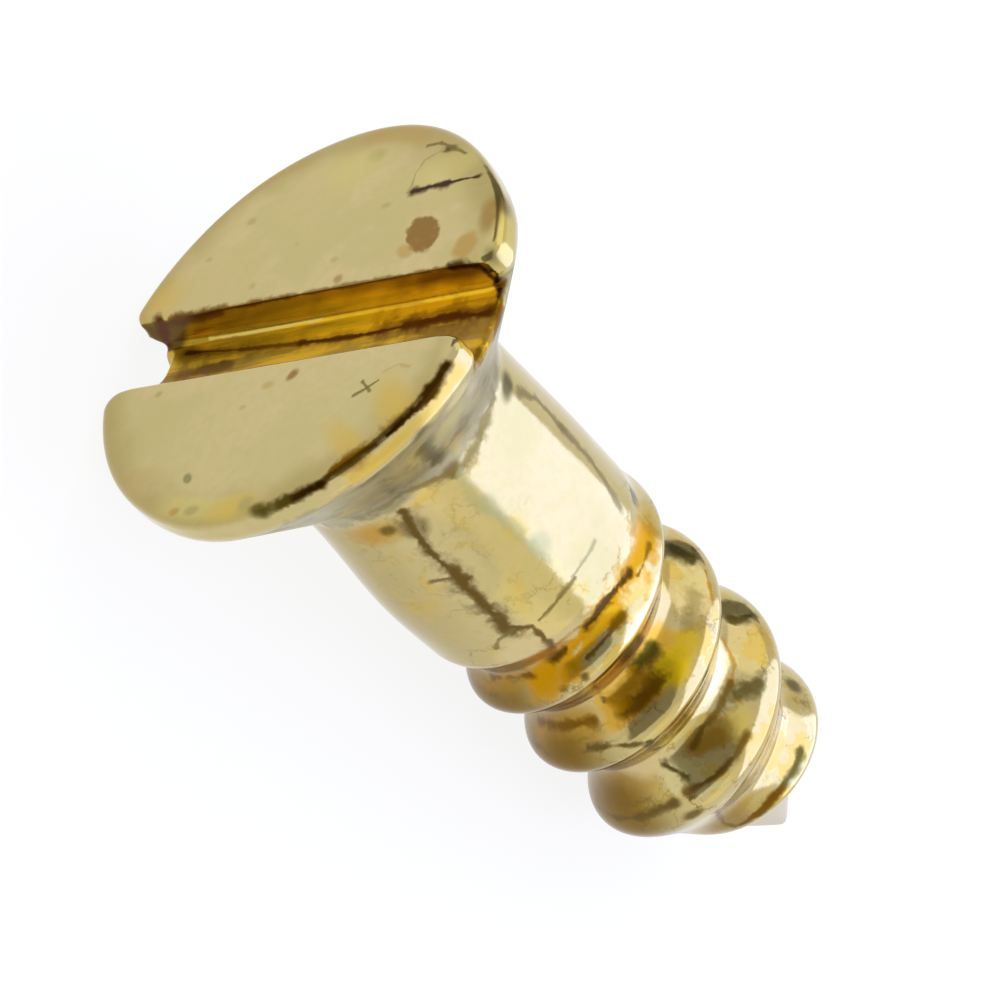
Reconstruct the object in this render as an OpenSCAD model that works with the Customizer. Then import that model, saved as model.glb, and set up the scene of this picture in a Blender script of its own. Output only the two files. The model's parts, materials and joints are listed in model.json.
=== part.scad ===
/* [Head] */
// Diameter of the head across its rim
head_d = 5.2; // [4.9:0.1:5.7]
// Height of the straight rim between the face and the cone
rim_h = 0.32; // [0.26:0.02:0.4]
// Radius of the rounded edge between the face and the rim
edge_r = 0.12; // [0.06:0.02:0.16]
// Included angle of the countersink cone
cone_angle = 85; // [78:1:90]
// Radius of the fillet where the cone meets the shank
neck_r = 0.5; // [0.2:0.05:0.6]

/* [Driver slot] */
// Width of the slot
slot_w = 0.93; // [0.75:0.01:1.1]
// Depth of the slot below the face
slot_h = 0.46; // [0.4:0.01:0.6]
// How far the slot's middle lies off the screw's axis
slot_off = 0.08; // [0:0.01:0.12]
// Radius of the corners where the slot runs out through the rim
slot_corner_r = 0.2; // [0.1:0.02:0.24]
// Radius of the lips along the slot's two long edges
slot_lip_r = 0.06; // [0.04:0.01:0.08]

/* [Shank] */
// Diameter of the smooth shank
shank_d = 2.86; // [2.7:0.02:3]
// Distance from the face to the end of the smooth shank
smooth_end = 4.26; // [3.9:0.02:4.7]

/* [Thread] */
// Diameter over the thread's crests
thread_d = 2.94; // [2.8:0.02:3.1]
// Diameter at the bottom of the thread's groove
root_d = 2.2; // [2:0.05:2.5]
// Distance between one crest and the next
pitch = 1.19; // [1:0.01:1.3]
// Angle from the slot's line at which the first groove begins
thread_start = 20; // [-180:1:180]
// Length over which the first groove reaches its full depth
run_in = 0.9; // [0.4:0.1:1.4]

/* [Point] */
// Overall length from the face to the tip
length = 9.8; // [9.5:0.05:10]
// Distance from the face to where the thread starts to close in
nose_from = 7.55; // [7:0.05:7.8]
// Distance from the face to where the thread ends
nose_to = 8.8; // [8.6:0.05:9]
// How late the nose turns in: a high value gives a blunt nose
nose_bluntness = 3.4; // [2.5:0.1:4]
// Included angle of the short cone at the tip
tip_angle = 68; // [50:1:80]
// Radius of the rounded end of the tip
tip_r = 0.1; // [0.05:0.01:0.2]

/* [Hidden] */
$fn = 96;
brass = [0.80, 0.70, 0.42];

head_r = head_d / 2;
shank_r = shank_d / 2;
crest_r = thread_d / 2;
root_r = root_d / 2;
half_cone = cone_angle / 2;
past = 1; // how far a cutter runs past the metal

// Where the cone would meet the shank without its fillet, and the fillet's reach and centre
cone_end = rim_h + (head_r - shank_r) / tan(half_cone);
neck_reach = neck_r * tan(half_cone / 2);
neck_centre = [shank_r + neck_r, cone_end + neck_reach];

// The thread closes in over nose_from to nose_to, and its groove opens out beyond open_from
nose_power = 0.18;
open_from = 6.5;
open_rate = 0.066;

// Where the tip's cone meets its rounded end, and the little flat that closes it
half_tip = tip_angle / 2;
tip_join = length - tip_r + tip_r * sin(half_tip);
tip_flat_r = 0.02;

// The thread is one mesh of rings of points, each ring_points round
ring_points = 48;
ring_step = 0.085;
thread_inside = 0.4; // how far its first ring lies inside the shank
skin = 0.01; // how far its surface stays below the shank's there
crest_rise = 0.5; // length over which the crests rise to their full diameter
nose_reach = 0.3; // the stretch before nose_to that gets closer rings
nose_steps = 8;
tip_steps = 4;

// Rounded corners of the slot where it leaves the rim, on the +Y side (1) and the -Y side (-1)
function corner_y(side) = slot_w / 2 + side * slot_off + slot_corner_r;
function corner_x(side) = sqrt(pow(head_r - slot_corner_r, 2) - pow(corner_y(side), 2));
function rim_turn(side) = atan2(corner_y(side), corner_x(side));

// The screw lies on both corners of its slot, so roll brings them level
roll = (rim_turn(1) - rim_turn(-1)) / 2;
corner_drop = head_r * cos((rim_turn(1) + rim_turn(-1)) / 2);

// Points of an arc, for the profiles
function arc(centre, r, from, to, steps = 6) =
    [for (i = [0:steps]) let (a = from + (to - from) * i / steps) centre + r * [cos(a), sin(a)]];

// Rises smoothly from 0 to 1
function ease(t) = let (u = min(max(t, 0), 1)) u * u * (3 - 2 * u);

// How many turns the groove has made at a distance z from the face
function turns(z) = (z - smooth_end) / pitch - open_rate * pow(max(z - open_from, 0), 2);

// Radius over the crests, which closes in at the nose
function nose(z) =
    let (t = min(max((z - nose_from) / (nose_to - nose_from), 0), 1))
    pow(1 - pow(t, nose_bluntness), nose_power);
function over_crests(z) =
    (shank_r + (crest_r - shank_r) * ease((z - smooth_end) / crest_rise)) * nose(z);

// Radius of the core's end: the tip's cone, which runs into a rounded end
function tip(z) =
    z > tip_join
    ? sqrt(max(pow(tip_r, 2) - pow(z - length + tip_r, 2), pow(tip_flat_r, 2)))
    : min(tip_r * cos(half_tip) + (tip_join - z) * tan(half_tip), root_r - skin);

// Share of the groove's depth at an angle a, from 0 on a crest to 1 in the groove
function groove(z, a) =
    (1 + cos(360 * turns(z) - a - thread_start)) / 2 * ease((z - smooth_end) / run_in);

function thread_radius(z, a) =
    z < smooth_end
    ? shank_r - skin
    : max(over_crests(z) * (1 - (1 - root_r / crest_r) * groove(z, a)) - skin, tip(z));

// Heights of the rings: even steps along the thread, then closer ones round the nose and tip
even_steps = floor((nose_to - nose_reach - smooth_end) / ring_step);
ring_z = concat(
    [smooth_end - thread_inside],
    [for (i = [0:even_steps]) smooth_end + i * ring_step],
    [for (i = [1:nose_steps]) nose_to - nose_reach * cos(90 * i / nose_steps)],
    [for (i = [0:tip_steps]) tip_join + (length - tip_join) * sin(90 * i / tip_steps)]
);
rings = len(ring_z);
thread_points = [
    for (z = ring_z, i = [0:ring_points - 1])
        let (a = 360 * i / ring_points, r = thread_radius(z, a)) [r * cos(a), r * sin(a), z]
];

// Besides the corners of its slot, the screw lies on one crest of its thread.
// lie is how far that lets its axis dip towards the point.
lie = min([
    for (p = thread_points)
        if (p[2] > smooth_end)
            let (drop = p[1] * sin(roll) - p[0] * cos(roll)) atan2(corner_drop - drop, p[2] - rim_h)
]);
rest_z = corner_drop * cos(lie) + rim_h * sin(lie);
back_x = -(corner_drop - edge_r) * sin(lie) + edge_r * cos(lie) - edge_r;
front_x = length * cos(lie);

// Outline of the head and the smooth shank, from the axis out and down
module turned_outline() {
    polygon(concat(
        [[0, 0]],
        arc([head_r - edge_r, edge_r], edge_r, -90, 0),
        arc([head_r - edge_r / 2, rim_h - edge_r / 2], edge_r / 2, 0, half_cone, 3),
        arc(neck_centre, neck_r, 180 + half_cone, 180),
        [[shank_r, smooth_end], [0, smooth_end]]
    ));
}

// Plan of one rounded corner, where a wall of the slot runs out through the rim
module slot_corner(side) {
    out = head_r + past;
    at = [corner_x(side), corner_y(side)];
    difference() {
        polygon([[at[0], 0], [out, 0], [out, out * tan(rim_turn(side))], at]);
        translate(at) circle(slot_corner_r);
    }
}

// Cross-section of the slot, with its rounded lips
module slot_section() {
    lip_y = slot_w / 2 + slot_lip_r;
    translate([-slot_w / 2, -past]) square([slot_w, past + slot_h]);
    difference() {
        translate([-lip_y, -past]) square([2 * lip_y, past + slot_lip_r]);
        for (side = [-1, 1]) translate([side * lip_y, slot_lip_r]) circle(slot_lip_r);
    }
}

module slot_cutter() {
    translate([-head_r - past, slot_off, 0])
        rotate([90, 0, 90])
            linear_extrude(2 * (head_r + past)) slot_section();
    for (end = [0, 1], side = [-1, 1])
        mirror([end, 0, 0]) mirror([0, side < 0 ? 1 : 0, 0])
            translate([0, 0, -past]) linear_extrude(past + slot_h) slot_corner(side);
}

// Thread, nose and tip: rings of points joined into bands, closed by a flat at each end
module thread() {
    n = ring_points;
    bands = [
        for (k = [0:rings - 2], i = [0:n - 1])
            let (j = (i + 1) % n, low = k * n, high = low + n)
            each [[low + i, high + j, low + j], [low + i, high + i, high + j]]
    ];
    flats = [
        [for (i = [0:n - 1]) i],
        [for (i = [n - 1:-1:0]) (rings - 1) * n + i]
    ];
    polyhedron(thread_points, concat(bands, flats));
}

// The whole screw on its own axis: face at zero, slot along X, point along +Z
module upright_screw() {
    difference() {
        rotate_extrude() turned_outline();
        slot_cutter();
    }
    thread();
}

module screw() {
    color(brass)
        translate([-(back_x + front_x) / 2, 0, rest_z])
            rotate([0, 90 + lie, 0])
                rotate([0, 0, 180 + roll])
                    upright_screw();
}

screw();
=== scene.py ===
import json
import math

import bpy
import numpy as np
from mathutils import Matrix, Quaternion, Vector


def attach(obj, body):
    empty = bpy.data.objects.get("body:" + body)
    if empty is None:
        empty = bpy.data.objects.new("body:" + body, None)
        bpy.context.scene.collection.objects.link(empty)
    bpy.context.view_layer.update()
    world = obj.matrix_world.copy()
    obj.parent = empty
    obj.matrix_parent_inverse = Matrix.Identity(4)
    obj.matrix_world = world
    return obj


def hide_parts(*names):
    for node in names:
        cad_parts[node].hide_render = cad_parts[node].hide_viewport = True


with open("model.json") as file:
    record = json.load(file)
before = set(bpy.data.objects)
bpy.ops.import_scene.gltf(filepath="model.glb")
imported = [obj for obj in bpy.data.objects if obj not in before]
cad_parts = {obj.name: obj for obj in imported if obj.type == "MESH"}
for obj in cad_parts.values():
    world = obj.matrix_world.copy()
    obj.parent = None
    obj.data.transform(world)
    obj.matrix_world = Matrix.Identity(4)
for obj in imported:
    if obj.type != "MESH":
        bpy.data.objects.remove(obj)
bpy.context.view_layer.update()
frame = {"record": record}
scene = bpy.context.scene
mm = 0.001

# The screw's own axes come from its mounts: X along the slot, Y across it, Z towards the point
mounts = {mount["name"]: mount for mount in frame["record"]["mounts"]}
shankMiddle = Vector(mounts["shank"]["pos_m"])
faceSpot = Vector(mounts["head_face"]["pos_m"])
alongScrew = Vector(mounts["shank"]["axis"]).normalized()
faceCentre = shankMiddle + alongScrew * (faceSpot - shankMiddle).dot(alongScrew)
acrossSlot = (faceSpot - faceCentre).normalized()
alongSlot = acrossSlot.cross(alongScrew)


def towards(azimuth, elevation):
    turn, rise = math.radians(azimuth), math.radians(elevation)
    return Vector((math.sin(turn) * math.cos(rise), -math.cos(turn) * math.cos(rise), math.sin(rise)))


cameraSettings = {
    "azimuth": -43.80,  # 0 looks along +Y
    "elevation": 42.26,
    "roll": 72.77,  # turned nearly onto its side, so the screw runs down to the right
    "distance": 59.50,  # mm
    "aim": (3.863, 0.489, -0.726),  # mm from the middle of the head's face
    "lens": 193.55,
}


def makeCamera(settings):
    camera = bpy.data.objects.new("camera", bpy.data.cameras.new("camera"))
    scene.collection.objects.link(camera)
    back = towards(settings["azimuth"], settings["elevation"])
    camera.location = faceCentre + (Vector(settings["aim"]) + back * settings["distance"]) * mm
    camera.rotation_mode = "QUATERNION"
    level = (-back).to_track_quat("-Z", "Y")
    camera.rotation_quaternion = level @ Quaternion((0, 0, 1), math.radians(settings["roll"]))
    camera.data.lens = settings["lens"]
    camera.data.sensor_width = 36
    camera.data.clip_start, camera.data.clip_end = 1 * mm, 2
    scene.camera = camera


makeCamera(cameraSettings)
print("camera placed")

screwShape = {  # mm and degrees
    "headRadius": 2.6,
    "rimHeight": 0.32,
    "rimEdge": 0.12,  # radius between face and rim
    "rimEdgeFrom": 0.45,  # how far inside the rim the slot's lips start to take that radius
    "rimEdgeFade": 0.4,
    "coneEdge": 0.06,  # radius between rim and cone
    "halfCone": 42.5,
    "neckBlend": 0.15,
    "slotWidth": 0.93,
    "slotDepth": 0.46,
    "slotOffset": 0.08,
    "slotFillet": 0.06,  # radius between the slot's walls and its floor
    "slotLip": 0.05,  # between its walls and the face
    "slotCorner": 0.27,  # between its walls and the rim
    "sharpCorner": 0.14,  # and at the one corner that is sharper
    "endDent": (-2.2, -0.07, 0.15, 1.3),  # in one end of its floor: where along, across, half width, slope
    "endBurr": (-174, 8, 0.07),  # pushed out under the rim at the same end: angle, spread, height
    "burrFrom": 0.15,  # depth below the face at which the burr starts
    "burrRise": 0.25,
    "slotFoot": 0.16,  # where its floor runs out through the cone
    "footReach": 0.25,  # and how far up its walls that goes
    "leastEdge": 0.002,
    "stemFrom": 0.76,  # well below the slot's floor
    "neckRadius": 1.405,
    "neckTo": 1.6,  # distance from the face to where the neck starts to widen into the shank
    "neckFade": 2,
    "shankRadius": 1.43,
    "smoothEnd": 4.26,
    "crestRadius": 1.47,
    "crestRise": 0.5,  # length over which the crests rise from the shank
    "rootRadius": 1.1,
    "pitch": 1.19,
    "threadStart": 20,
    "runIn": 0.9,
    "openFrom": 6.5,  # the last turns spread apart from here
    "openRate": 0.066,
    "noseFrom": 7.55,
    "noseTo": 8.8,
    "noseBluntness": 3.4,
    "nosePower": 0.18,
    "length": 9.8,
    "halfTip": 34,
    "tipRadius": 0.1,
    "tipBlend": 0.05,
    # The head is out of round: angle, spread, height
    "headBumps": [(-72, 26, 0.085), (97, 16, 0.05), (-148, 22, -0.038), (-27, 10, 0.035)],
    "barrel": (3.5, 0.9, 0.085),  # where the shank is fullest, how far that reaches, how much
}


def ease(t):
    u = np.clip(t, 0, 1)
    return u * u * (3 - 2 * u)


def roundedOverlap(a, b, radius):  # what lies in both, with a rounded edge
    edge = np.hypot(np.maximum(radius + a, 0), np.maximum(radius + b, 0))
    return np.minimum(-radius, np.maximum(a, b)) + edge


def roundedJoin(a, b, radius):  # both together, with a fillet
    return -roundedOverlap(-a, -b, radius)


def roundBump(angle, bump):  # a gentle rise at one angle round the head
    at, spread, height = bump
    turn = (np.degrees(angle) - at + 180) % 360 - 180
    return height * np.exp(-(turn / spread) ** 2)


def slotDepthAt(x, y, s):  # the floor is flat, but for a dent in one end
    start, middle, half, slope = s["endDent"]
    return s["slotDepth"] + slope * np.maximum(start - x, 0) * np.exp(-((y - middle) / half) ** 2)


def headSurface(rho, angle, x, y, z, s):  # the slotted head, a little out of round
    half = math.radians(s["halfCone"])
    rim = rho - s["headRadius"] - sum(roundBump(angle, bump) for bump in s["headBumps"])
    rim = rim - roundBump(angle, s["endBurr"]) * ease((z - s["burrFrom"]) / s["burrRise"])
    cone = rim * math.cos(half) + (z - s["rimHeight"]) * math.sin(half)
    side = roundedOverlap(rim, cone, s["coneEdge"])
    wall = np.abs(y - s["slotOffset"]) - s["slotWidth"] / 2
    corner = np.where((x < 0) & (y < s["slotOffset"]), s["sharpCorner"], s["slotCorner"])
    halves = roundedOverlap(side, -wall, corner)
    floored = roundedJoin(halves, slotDepthAt(x, y, s) - z, s["slotFillet"])
    foot = s["slotFoot"] * (1 - ease(wall / s["footReach"])) + s["leastEdge"]
    nearRim = ease((rho - s["headRadius"] + s["rimEdgeFrom"]) / s["rimEdgeFade"])
    edge = s["slotLip"] + (s["rimEdge"] - s["slotLip"]) * nearRim
    return roundedOverlap(roundedOverlap(floored, side, foot), -z, edge)


def grooveTurn(angle, z, s):  # 0 at the bottom of the groove, pi on a crest
    turns = (z - s["smoothEnd"]) / s["pitch"] - s["openRate"] * np.maximum(z - s["openFrom"], 0) ** 2
    return 2 * np.pi * turns - angle - math.radians(s["threadStart"])


def runIn(z, s):  # how far the groove has reached its full depth
    return ease((z - s["smoothEnd"]) / s["runIn"])


def grooveShare(angle, z, s):  # 0 on a crest, 1 at the bottom of the groove
    return (1 + np.cos(grooveTurn(angle, z, s))) / 2 * runIn(z, s)


def stemSurface(rho, angle, z, s):
    smooth = s["neckRadius"] + (s["shankRadius"] - s["neckRadius"]) * ease((z - s["neckTo"]) / s["neckFade"])
    middle, reach, bulge = s["barrel"]
    smooth = smooth + bulge * np.exp(-((z - middle) / reach) ** 2) * (1 + np.sin(angle)) / 2
    crest = smooth + (s["crestRadius"] - s["shankRadius"]) * ease((z - s["smoothEnd"]) / s["crestRise"])
    radius = crest - (s["crestRadius"] - s["rootRadius"]) * grooveShare(angle, z, s)
    along = np.maximum(z - s["noseFrom"], 0) / (s["noseTo"] - s["noseFrom"])
    power = s["nosePower"]
    return radius * (((rho / radius) ** (1 / power) + along ** s["noseBluntness"]) ** power - 1)


def tipSurface(rho, z, s):
    slope = math.radians(s["halfTip"])
    low = z - (s["length"] - s["tipRadius"])
    side = rho * math.cos(slope) + low * math.sin(slope)
    beyond = rho * math.sin(slope) < low * math.cos(slope)
    cone = np.where(beyond, np.hypot(rho, low), side) - s["tipRadius"]
    inside = roundedOverlap(cone, rho - s["rootRadius"] + s["tipBlend"], s["tipBlend"])
    return np.maximum(inside, s["noseFrom"] - z)


def screwSurface(points, s):  # negative inside the metal
    x, y, z = points[..., 0], points[..., 1], points[..., 2]
    rho, angle = np.hypot(x, y), np.arctan2(y, x)
    stem = np.maximum(stemSurface(rho, angle, z, s), s["stemFrom"] - z)
    body = roundedJoin(headSurface(rho, angle, x, y, z, s), stem, s["neckBlend"])
    return roundedJoin(body, tipSurface(rho, z, s), s["tipBlend"])


def surfaceSlope(points, s):
    step = 0.002  # mm
    slope = np.empty_like(points)
    for axis in range(3):
        nudge = np.zeros(3)
        nudge[axis] = step
        slope[..., axis] = (screwSurface(points + nudge, s) - screwSurface(points - nudge, s)) / (2 * step)
    return slope


def settle(points, s, rounds=3):  # moves points straight onto the surface
    flattest, longest = 0.05, 0.03  # smallest squared slope, and longest step in mm
    for _ in range(rounds):
        slope = surfaceSlope(points, s)
        size = np.maximum((slope ** 2).sum(-1, keepdims=True), flattest)
        step = screwSurface(points, s)[..., None] * slope / size
        points = points - np.clip(step, -longest, longest)
    return points


def spaced(*stretches):  # grid lines: (from, to, spacing) stretches end to end
    lines = [stretches[0][0]]
    for start, end, spacing in stretches:
        count = max(round((end - start) / spacing), 1)
        lines += list(np.linspace(start, end, count + 1)[1:])
    return np.array(lines)


def surfaceNet(field, lines):
    # One vertex in every cell that the surface crosses, one quad round every edge that it crosses
    cells = tuple(len(line) - 1 for line in lines)
    total, count = np.zeros(cells + (3,)), np.zeros(cells)
    rings = []
    for axis in range(3):
        second, third = (axis + 1) % 3, (axis + 2) % 3
        low = np.take(field, range(cells[axis]), axis)
        high = np.take(field, range(1, cells[axis] + 1), axis)
        at = np.argwhere((low < 0) != (high < 0))
        lowValue, highValue = low[tuple(at.T)], high[tuple(at.T)]
        share = lowValue / (lowValue - highValue)
        crossing = np.stack([lines[k][at[:, k]] for k in range(3)], -1)
        crossing[:, axis] += share * (lines[axis][at[:, axis] + 1] - crossing[:, axis])
        ring = []
        for back2, back3 in ((1, 1), (0, 1), (0, 0), (1, 0)):
            cell = at.copy()
            cell[:, second] -= back2
            cell[:, third] -= back3
            np.add.at(total, tuple(cell.T), crossing)
            np.add.at(count, tuple(cell.T), 1)
            ring.append(np.ravel_multi_index(tuple(cell.T), cells))
        ring = np.stack(ring, -1)
        inward = lowValue >= 0
        ring[inward] = ring[inward][:, ::-1]
        rings.append(ring)
    used = count > 0
    number = np.full(cells, -1)
    number[used] = np.arange(used.sum())
    return total[used] / count[used][:, None], number.ravel()[np.concatenate(rings)]


def evenOut(points, quads, s, rounds=2):  # spreads the vertices evenly, and keeps them on the surface
    edges = np.concatenate([quads[:, [k, (k + 1) % 4]] for k in range(4)])
    pull = 0.5  # how far a vertex moves towards the middle of its neighbours
    for _ in range(rounds):
        total, count = np.zeros_like(points), np.zeros(len(points))
        np.add.at(total, edges[:, 0], points[edges[:, 1]])
        np.add.at(count, edges[:, 0], 1)
        points = settle(points + pull * (total / count[:, None] - points), s, 2)
    return points


gridSpacing = {  # mm between the grid lines
    "alongSlot": 0.054,
    "acrossSlot": 0.056,
    "nearWalls": 0.02,
    "wallReach": 0.1,  # how far from the slot's walls the lines stay close
    # Down the screw: from and to, in mm from the face, and the spacing there
    "down": [(-0.1, 0.16, 0.02), (0.16, 0.46, 0.04), (0.46, 0.66, 0.03), (0.66, 4.2, 0.06), (4.2, 8.8, 0.05),
             (8.8, 9.9, 0.03)],
}


def buildScrew(s, spacing):
    reach = s["headRadius"] + 0.1
    stops = [-reach]
    for side in (-1, 1):
        wall = s["slotOffset"] + side * s["slotWidth"] / 2
        stops += [wall - spacing["wallReach"], wall + spacing["wallReach"]]
    stops.append(reach)
    wide, close = spacing["acrossSlot"], spacing["nearWalls"]
    lines = [
        spaced((-reach, reach, spacing["alongSlot"])),
        spaced(*zip(stops, stops[1:], (wide, close, wide, close, wide))),
        spaced(*spacing["down"]),
    ]
    grid = np.stack(np.meshgrid(*lines, indexing="ij"), -1)
    points, quads = surfaceNet(screwSurface(grid, s), lines)
    points = evenOut(settle(points, s), quads, s)
    normals = surfaceSlope(points, s)
    normals /= np.linalg.norm(normals, axis=-1, keepdims=True)
    return points, quads, normals


# The screw is coloured in three stretches, so that each is only asked about its own marks
zones = {"head": (-1, 0.62), "shank": (0.62, 4.3), "thread": (4.3, 11)}  # mm from the face

slotPaint = {  # how far the slot's lacquer reaches, in mm
    "overLip": 0.04,  # onto the face beside the slot
    "overEnd": 0.14,  # and further at the lower corner of one end
    "endFrom": 1.9,
    "endFade": 0.4,
    "stopAbove": 2.34,  # where it stops along that end, above and below
    "stopBelow": 2.84,
    "belowFrom": -0.3,  # where across the slot the stop starts to change from the one to the other
    "belowFade": 0.5,
    "faceGap": 0.02,  # it starts this far below the face
    "faceFade": 0.08,
    "underFloor": 0.12,  # and ends this far below the slot's floor
    "fade": 0.06,
}


def slotPaintShare(x, y, z, s, paint):
    beyondWall = np.abs(y - s["slotOffset"]) - s["slotWidth"] / 2
    reach = paint["overLip"] + paint["overEnd"] * ease((x - paint["endFrom"]) / paint["endFade"]) * (y > 0)
    below = ease((y - paint["belowFrom"]) / paint["belowFade"])
    stop = paint["stopAbove"] + (paint["stopBelow"] - paint["stopAbove"]) * below
    inside = ease((reach - beyondWall) / paint["fade"]) * ease((z - paint["faceGap"]) / paint["faceFade"])
    return inside * (z < s["slotDepth"] + paint["underFloor"]) * ease((stop - x) / paint["fade"])


def makeScrew(s):
    points, quads, normals = buildScrew(s, gridSpacing)
    turn = np.array([alongSlot, acrossSlot, alongScrew])
    mesh = bpy.data.meshes.new("flatHeadScrew")
    mesh.from_pydata((points @ turn * mm + np.array(faceCentre)).tolist(), [], quads.tolist())
    mesh.shade_smooth()
    mesh.normals_split_custom_set_from_vertices((normals @ turn).tolist())
    x, y, z = points.T
    angle = np.arctan2(y, x)
    masks = {
        "grooveDepth": grooveShare(angle, z, s),
        "grooveSide": np.sin(grooveTurn(angle, z, s)) * runIn(z, s),
        "slotDepth": slotPaintShare(x, y, z, s, slotPaint),
    }
    place = mesh.attributes.new("screwPlace", "FLOAT_VECTOR", "POINT")
    place.data.foreach_set("vector", points.astype(np.float32).ravel())
    for name, values in masks.items():
        mask = mesh.attributes.new(name, "FLOAT", "POINT")
        mask.data.foreach_set("value", values.astype(np.float32))
    zoneStarts = [low for low, high in zones.values()]
    zoneNumber = np.searchsorted(zoneStarts, z[quads].mean(1), side="right") - 1
    mesh.polygons.foreach_set("material_index", zoneNumber.astype(np.int32))
    piece = bpy.data.objects.new("flatHeadScrew", mesh)
    scene.collection.objects.link(piece)
    return piece


screw = makeScrew(screwShape)
print("screw built:", len(screw.data.vertices), "vertices,", 2 * len(screw.data.polygons), "triangles")


def tone(red, green, blue):  # a colour as it looks, 0 to 255
    return tuple(((part / 255 + 0.055) / 1.055) ** 2.4 for part in (red, green, blue)) + (1,)


def addNode(tree, kind, settings=None, **sockets):
    node = tree.nodes.new(kind)
    for name, value in (settings or {}).items():
        setattr(node, name, value)
    for name, value in sockets.items():
        feed(tree, node.inputs[name.replace("_", " ")], value)
    return node


def feed(tree, socket, value):  # links a socket, or sets its value
    if isinstance(value, bpy.types.NodeSocket):
        tree.links.new(value, socket)
    else:
        socket.default_value = value


def feedAll(tree, node, values):
    for socket, value in zip(node.inputs, values):
        feed(tree, socket, value)
    return node


def calc(tree, operation, *values):
    return feedAll(tree, addNode(tree, "ShaderNodeMath", {"operation": operation}), values).outputs[0]


def times(tree, first, *others):
    for other in others:
        first = calc(tree, "MULTIPLY", first, other)
    return first


def vectorCalc(tree, operation, *values, output="Vector"):
    node = addNode(tree, "ShaderNodeVectorMath", {"operation": operation})
    return feedAll(tree, node, values).outputs[output]


def splitPlace(tree, place):
    return addNode(tree, "ShaderNodeSeparateXYZ", Vector=place).outputs


def between(tree, value, low, high, lowTo=0.0, highTo=1.0):  # a soft step
    node = addNode(tree, "ShaderNodeMapRange", {"interpolation_type": "SMOOTHSTEP"}, Value=value)
    for name, given in (("From Min", low), ("From Max", high), ("To Min", lowTo), ("To Max", highTo)):
        feed(tree, node.inputs[name], given)
    return node.outputs[0]


def noiseOf(tree, place, grain, detail, roughness=0.5, output="Fac"):
    node = addNode(tree, "ShaderNodeTexNoise", Vector=place, Scale=grain, Detail=detail, Roughness=roughness)
    return node.outputs[output]


def newGroup(name, results, **inputs):
    group = bpy.data.node_groups.new(name, "ShaderNodeTree")
    for label, value in {"Place": (0, 0, 0), **inputs}.items():
        kind = "NodeSocketVector" if isinstance(value, tuple) else "NodeSocketFloat"
        socket = group.interface.new_socket(name=label.replace("_", " "), in_out="INPUT", socket_type=kind)
        socket.default_value = value
    for result in results:
        group.interface.new_socket(name=result, in_out="OUTPUT", socket_type="NodeSocketFloat")
    return group, group.nodes.new("NodeGroupInput").outputs, group.nodes.new("NodeGroupOutput").inputs


def ragged(tree, given):  # shakes a place about, so that an edge drawn there is uneven
    return vectorCalc(tree, "MULTIPLY_ADD", given["Shake"], given["Ragged"], given["Place"])


def softMask(tree, given, distance):  # 1 inside a distance of 1, 0 outside
    inner = calc(tree, "SUBTRACT", 1.0, given["Soft"])
    outer = calc(tree, "ADD", 1.0, given["Soft"])
    return between(tree, distance, inner, outer, 1.0, 0.0)


def levelMask(tree, value, level, width):  # 1 above a level, 0 below it
    low = calc(tree, "SUBTRACT", level, width)
    return between(tree, value, low, calc(tree, "ADD", level, width))


def blotchGroup():  # an oval stain, or an oval of painted shade, highlight or reflection
    group, given, results = newGroup("blotch", ["Mask"], Centre=(0, 0, 0), Half_Size=(1, 1, 1), Turn=0.0,
                                     Shake=(0, 0, 0), Ragged=0.1, Soft=0.3)
    away = vectorCalc(group, "SUBTRACT", ragged(group, given), given["Centre"])
    turned = addNode(group, "ShaderNodeVectorRotate", {"rotation_type": "Z_AXIS"}, Vector=away,
                     Angle=given["Turn"])
    scaled = vectorCalc(group, "DIVIDE", turned.outputs["Vector"], given["Half Size"])
    distance = vectorCalc(group, "LENGTH", scaled, output="Value")
    feed(group, results["Mask"], softMask(group, given, distance))
    return group


def streakGroup():  # a stretch of a scratch, crack or seam, or of a painted line of shade or reflection, from one place to another
    group, given, results = newGroup("streak", ["Mask"], Start=(0, 0, 0), End=(1, 0, 0), Width=0.05,
                                     Shake=(0, 0, 0), Ragged=0.05, Vary=1.0, Soft=0.7)
    away = vectorCalc(group, "SUBTRACT", ragged(group, given), given["Start"])
    whole = vectorCalc(group, "SUBTRACT", given["End"], given["Start"])
    run = vectorCalc(group, "DOT_PRODUCT", away, whole, output="Value")
    full = vectorCalc(group, "DOT_PRODUCT", whole, whole, output="Value")
    share = addNode(group, "ShaderNodeClamp", Value=calc(group, "DIVIDE", run, full))
    along = addNode(group, "ShaderNodeVectorMath", {"operation": "SCALE"}, Vector=whole,
                    Scale=share.outputs[0])
    distance = vectorCalc(group, "DISTANCE", away, along.outputs["Vector"], output="Value")
    width = times(group, given["Width"], given["Vary"])
    feed(group, results["Mask"], softMask(group, given, calc(group, "DIVIDE", distance, width)))
    return group


def angleWindow(tree, given):  # 1 near one angle round the screw, fading out beyond half a turn range
    alongX, acrossY, _ = splitPlace(tree, given["Place"])
    away = calc(tree, "SUBTRACT", calc(tree, "ARCTAN2", acrossY, alongX), given["Middle"])
    off = calc(tree, "WRAP", away, math.pi, -math.pi)
    share = calc(tree, "DIVIDE", calc(tree, "ABSOLUTE", off), given["Half Turn"])
    return between(tree, share, 0.45, 1.1, 1.0, 0.0)


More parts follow.
